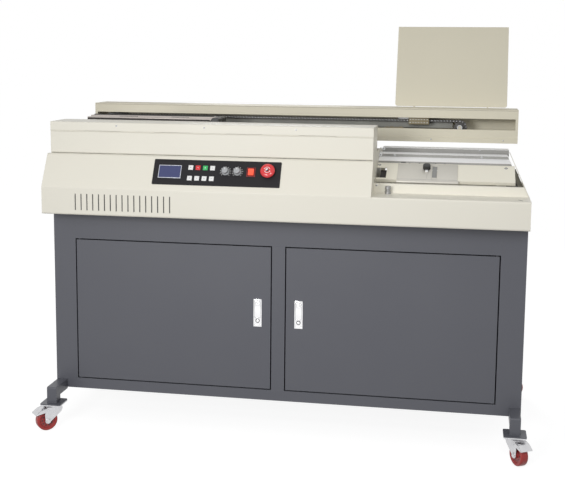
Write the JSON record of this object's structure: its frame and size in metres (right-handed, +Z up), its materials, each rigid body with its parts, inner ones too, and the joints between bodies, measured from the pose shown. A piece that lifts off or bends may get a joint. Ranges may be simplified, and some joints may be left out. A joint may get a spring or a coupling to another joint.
{
  "type": "thermal binding machine",
  "caption": "Wheeled floor-standing hot-melt book binder: hinged hood, control console, sliding book clamp on a chain-driven beam, and a sloping cover station with nip bars.",
  "frame": {"origin": "on the floor under the middle of the machine's overall box", "axes": "+X along the machine to the operator's right, -Y towards the operator, +Z up"},
  "size_m": [1.4753, 0.677, 1.222],
  "materials": {
    "body_paint": "satin cream powder coat",
    "cabinet_paint": "satin slate-grey powder coat",
    "table_paint": "satin cream powder coat",
    "steel": "brushed",
    "bar_steel": "ground",
    "zinc": "zinc plated",
    "chrome": "polished",
    "chain_steel": "oiled",
    "guide_plastic": "moulded",
    "wheel": "red polyurethane",
    "panel": "black printed film",
    "display": "clear window over a blue display",
    "white_key": "smooth",
    "red_key": "smooth",
    "green_key": "smooth",
    "knob": "moulded",
    "black_plastic": "moulded",
    "cast": "cast",
    "machine_grey": "enamel"
  },
  "bodies": {
    "machine": {"cabinet_frame": "cabinet_paint", "cabinet_shell": "cabinet_paint", "legs": "cabinet_paint", "caster_plates": "zinc", "front_cover": "body_paint", "side_covers": "body_paint", "machine_deck": "body_paint", "hood_frame": "body_paint", "control_panel": "panel", "screen": "display", "beam": "body_paint", "rail": "steel", "chain": "chain_steel", "chain_guides": "guide_plastic", "nip_bed": "bar_steel", "cover_table": "table_paint", "cover_tray": "body_paint", "glue_tank": "cast", "motors": "machine_grey"},
    "hood_flap": {"hood_flap": "body_paint"},
    "carriage": {"carriage": "steel"},
    "front_jaw": {"front_jaw": "steel"},
    "drive_sprocket": {"drive_sprocket": "chain_steel"},
    "idler_sprocket": {"idler_sprocket": "chain_steel"},
    "front_nip_bar": {"front_nip_bar": "bar_steel"},
    "gauge": {"gauge": "steel"},
    "gauge_knob": {"gauge_knob": "black_plastic"},
    "plunger": {"plunger": "chrome"},
    "rocker": {"rocker": "red_key"},
    "stop_button": {"stop_button": "red_key"},
    "glue_roller": {"glue_roller": "steel"},
    "cutter": {"cutter": "steel"},
    "door_left": {"door_left": "cabinet_paint", "latch_case_left": "chrome"},
    "latch_lever_left": {"latch_lever_left": "chrome"},
    "latch_button_left": {"latch_button_left": "chrome"},
    "door_right": {"door_right": "cabinet_paint", "latch_case_right": "chrome"},
    "latch_lever_right": {"latch_lever_right": "chrome"},
    "latch_button_right": {"latch_button_right": "chrome"},
    "key_1": {"key_1": "white_key"},
    "key_2": {"key_2": "white_key"},
    "key_3": {"key_3": "white_key"},
    "key_4": {"key_4": "white_key"},
    "key_5": {"key_5": "white_key"},
    "key_6": {"key_6": "red_key"},
    "key_7": {"key_7": "green_key"},
    "key_8": {"key_8": "white_key"},
    "knob_1": {"knob_1": "knob"},
    "knob_2": {"knob_2": "knob"},
    "fork_left_front": {"fork_left_front": "zinc"},
    "wheel_left_front": {"wheel_left_front": "wheel"},
    "pedal_left_front": {"pedal_left_front": "zinc"},
    "fork_right_front": {"fork_right_front": "zinc"},
    "wheel_right_front": {"wheel_right_front": "wheel"},
    "pedal_right_front": {"pedal_right_front": "zinc"},
    "fork_left_rear": {"fork_left_rear": "zinc"},
    "wheel_left_rear": {"wheel_left_rear": "wheel"},
    "fork_right_rear": {"fork_right_rear": "zinc"},
    "wheel_right_rear": {"wheel_right_rear": "wheel"}
  },
  "joints": [
    {"name": "door_left", "type": "hinge", "parent": "machine", "child": "door_left", "pos_m": [-0.6215, -0.183, 0.372], "axis": [0, 0, -1], "range_deg": [0, 110]},
    {"name": "latch_lever_left", "type": "hinge", "parent": "door_left", "child": "latch_lever_left", "pos_m": [-0.06925, -0.1905, 0.40575], "axis": [-1, 0, 0], "range_deg": [0, 60], "stiffness_Nm_per_rad": 0.05},
    {"name": "latch_button_left", "type": "slide", "parent": "door_left", "child": "latch_button_left", "axis": [0, 1, 0], "range_m": [0, 0.003], "stiffness_N_per_m": 300},
    {"name": "door_right", "type": "hinge", "parent": "machine", "child": "door_right", "pos_m": [0.6175, -0.183, 0.372], "axis": [0, 0, 1], "range_deg": [0, 110]},
    {"name": "latch_lever_right", "type": "hinge", "parent": "door_right", "child": "latch_lever_right", "pos_m": [0.05325, -0.1905, 0.40575], "axis": [-1, 0, 0], "range_deg": [0, 60], "stiffness_Nm_per_rad": 0.05},
    {"name": "latch_button_right", "type": "slide", "parent": "door_right", "child": "latch_button_right", "axis": [0, 1, 0], "range_m": [0, 0.003], "stiffness_N_per_m": 300},
    {"name": "hood_flap", "type": "hinge", "parent": "machine", "child": "hood_flap", "pos_m": [0, -0.2265, 0.9], "axis": [-1, 0, 0], "range_deg": [0, 100]},
    {"name": "carriage", "type": "slide", "parent": "machine", "child": "carriage", "axis": [1, 0, 0], "range_m": [0, 0.88], "deforming": ["chain"]},
    {"name": "front_jaw", "type": "slide", "parent": "carriage", "child": "front_jaw", "axis": [0, -1, 0], "range_m": [0, 0.042]},
    {"name": "drive_sprocket", "type": "hinge", "parent": "machine", "child": "drive_sprocket", "pos_m": [-0.61919, 0.15, 0.9083], "axis": [0, 1, 0], "continuous": true},
    {"name": "idler_sprocket", "type": "hinge", "parent": "machine", "child": "idler_sprocket", "pos_m": [0.5, 0.15, 0.9083], "axis": [0, 1, 0], "continuous": true},
    {"name": "front_nip_bar", "type": "slide", "parent": "machine", "child": "front_nip_bar", "axis": [0, 1, 0], "range_m": [0, 0.007]},
    {"name": "gauge", "type": "slide", "parent": "machine", "child": "gauge", "axis": [1, 0, 0], "range_m": [-0.055, 0.065]},
    {"name": "gauge_knob", "type": "hinge", "parent": "gauge", "child": "gauge_knob", "pos_m": [0.411, -0.09668, 0.79935], "axis": [0, -0.4427, 0.8967], "continuous": true},
    {"name": "plunger", "type": "slide", "parent": "machine", "child": "plunger", "axis": [0, 0, -1], "range_m": [0, 0.006], "stiffness_N_per_m": 300, "springref_m": -0.005},
    {"name": "key_1", "type": "slide", "parent": "machine", "child": "key_1", "axis": [0, 0.8779, -0.4789], "range_m": [0, 0.001], "stiffness_N_per_m": 200, "springref_m": -0.001},
    {"name": "key_2", "type": "slide", "parent": "machine", "child": "key_2", "axis": [0, 0.8779, -0.4789], "range_m": [0, 0.001], "stiffness_N_per_m": 200, "springref_m": -0.001},
    {"name": "key_3", "type": "slide", "parent": "machine", "child": "key_3", "axis": [0, 0.8779, -0.4789], "range_m": [0, 0.001], "stiffness_N_per_m": 200, "springref_m": -0.001},
    {"name": "key_4", "type": "slide", "parent": "machine", "child": "key_4", "axis": [0, 0.8779, -0.4789], "range_m": [0, 0.001], "stiffness_N_per_m": 200, "springref_m": -0.001},
    {"name": "key_5", "type": "slide", "parent": "machine", "child": "key_5", "axis": [0, 0.8779, -0.4789], "range_m": [0, 0.001], "stiffness_N_per_m": 200, "springref_m": -0.001},
    {"name": "key_6", "type": "slide", "parent": "machine", "child": "key_6", "axis": [0, 0.8779, -0.4789], "range_m": [0, 0.001], "stiffness_N_per_m": 200, "springref_m": -0.001},
    {"name": "key_7", "type": "slide", "parent": "machine", "child": "key_7", "axis": [0, 0.8779, -0.4789], "range_m": [0, 0.001], "stiffness_N_per_m": 200, "springref_m": -0.001},
    {"name": "key_8", "type": "slide", "parent": "machine", "child": "key_8", "axis": [0, 0.8779, -0.4789], "range_m": [0, 0.001], "stiffness_N_per_m": 200, "springref_m": -0.001},
    {"name": "knob_1", "type": "hinge", "parent": "machine", "child": "knob_1", "pos_m": [-0.1535, -0.24859, 0.79475], "axis": [0, -0.8779, 0.4789], "range_deg": [-135, 135]},
    {"name": "knob_2", "type": "hinge", "parent": "machine", "child": "knob_2", "pos_m": [-0.1185, -0.24859, 0.79475], "axis": [0, -0.8779, 0.4789], "range_deg": [-135, 135]},
    {"name": "rocker", "type": "hinge", "parent": "machine", "child": "rocker", "pos_m": [-0.079, -0.25167, 0.79642], "axis": [1, 0, 0], "range_deg": [-8, 8]},
    {"name": "stop_button", "type": "slide", "parent": "machine", "child": "stop_button", "axis": [0, 0.8779, -0.4789], "range_m": [0, 0.005], "stiffness_N_per_m": 400, "springref_m": -0.003},
    {"name": "fork_left_front", "type": "hinge", "parent": "machine", "child": "fork_left_front", "pos_m": [-0.681, -0.265, 0.072], "axis": [0, 0, 1], "continuous": true},
    {"name": "wheel_left_front", "type": "hinge", "parent": "fork_left_front", "child": "wheel_left_front", "pos_m": [-0.69883, -0.28106, 0.0315], "axis": [0.6691, -0.7431, 0], "continuous": true},
    {"name": "pedal_left_front", "type": "hinge", "parent": "fork_left_front", "child": "pedal_left_front", "pos_m": [-0.69883, -0.28106, 0.064], "axis": [0.6691, -0.7431, 0], "range_deg": [0, 10]},
    {"name": "fork_right_front", "type": "hinge", "parent": "machine", "child": "fork_right_front", "pos_m": [0.681, -0.265, 0.072], "axis": [0, 0, 1], "continuous": true},
    {"name": "wheel_right_front", "type": "hinge", "parent": "fork_right_front", "child": "wheel_right_front", "pos_m": [0.693, -0.28579, 0.0315], "axis": [0.866, 0.5, 0], "continuous": true},
    {"name": "pedal_right_front", "type": "hinge", "parent": "fork_right_front", "child": "pedal_right_front", "pos_m": [0.693, -0.28579, 0.064], "axis": [0.866, 0.5, 0], "range_deg": [0, 10]},
    {"name": "fork_left_rear", "type": "hinge", "parent": "machine", "child": "fork_left_rear", "pos_m": [-0.681, 0.305, 0.072], "axis": [0, 0, 1], "continuous": true},
    {"name": "wheel_left_rear", "type": "hinge", "parent": "fork_left_rear", "child": "wheel_left_rear", "pos_m": [-0.69939, 0.32043, 0.0315], "axis": [-0.6428, -0.766, 0], "continuous": true},
    {"name": "fork_right_rear", "type": "hinge", "parent": "machine", "child": "fork_right_rear", "pos_m": [0.681, 0.305, 0.072], "axis": [0, 0, 1], "continuous": true},
    {"name": "wheel_right_rear", "type": "hinge", "parent": "fork_right_rear", "child": "wheel_right_rear", "pos_m": [0.70275, 0.31514, 0.0315], "axis": [-0.4226, 0.9063, 0], "continuous": true},
    {"name": "glue_roller", "type": "hinge", "parent": "machine", "child": "glue_roller", "pos_m": [0.1, -0.002, 0.836], "axis": [0, 1, 0], "continuous": true},
    {"name": "cutter", "type": "hinge", "parent": "machine", "child": "cutter", "pos_m": [-0.12, -0.002, 0.852], "axis": [0, 0, 1], "continuous": true}
  ],
  "couplings": [
    {"joint": "drive_sprocket", "follows": "carriage", "rad_per_m": 50.25},
    {"joint": "idler_sprocket", "follows": "carriage", "rad_per_m": 50.25}
  ]
}
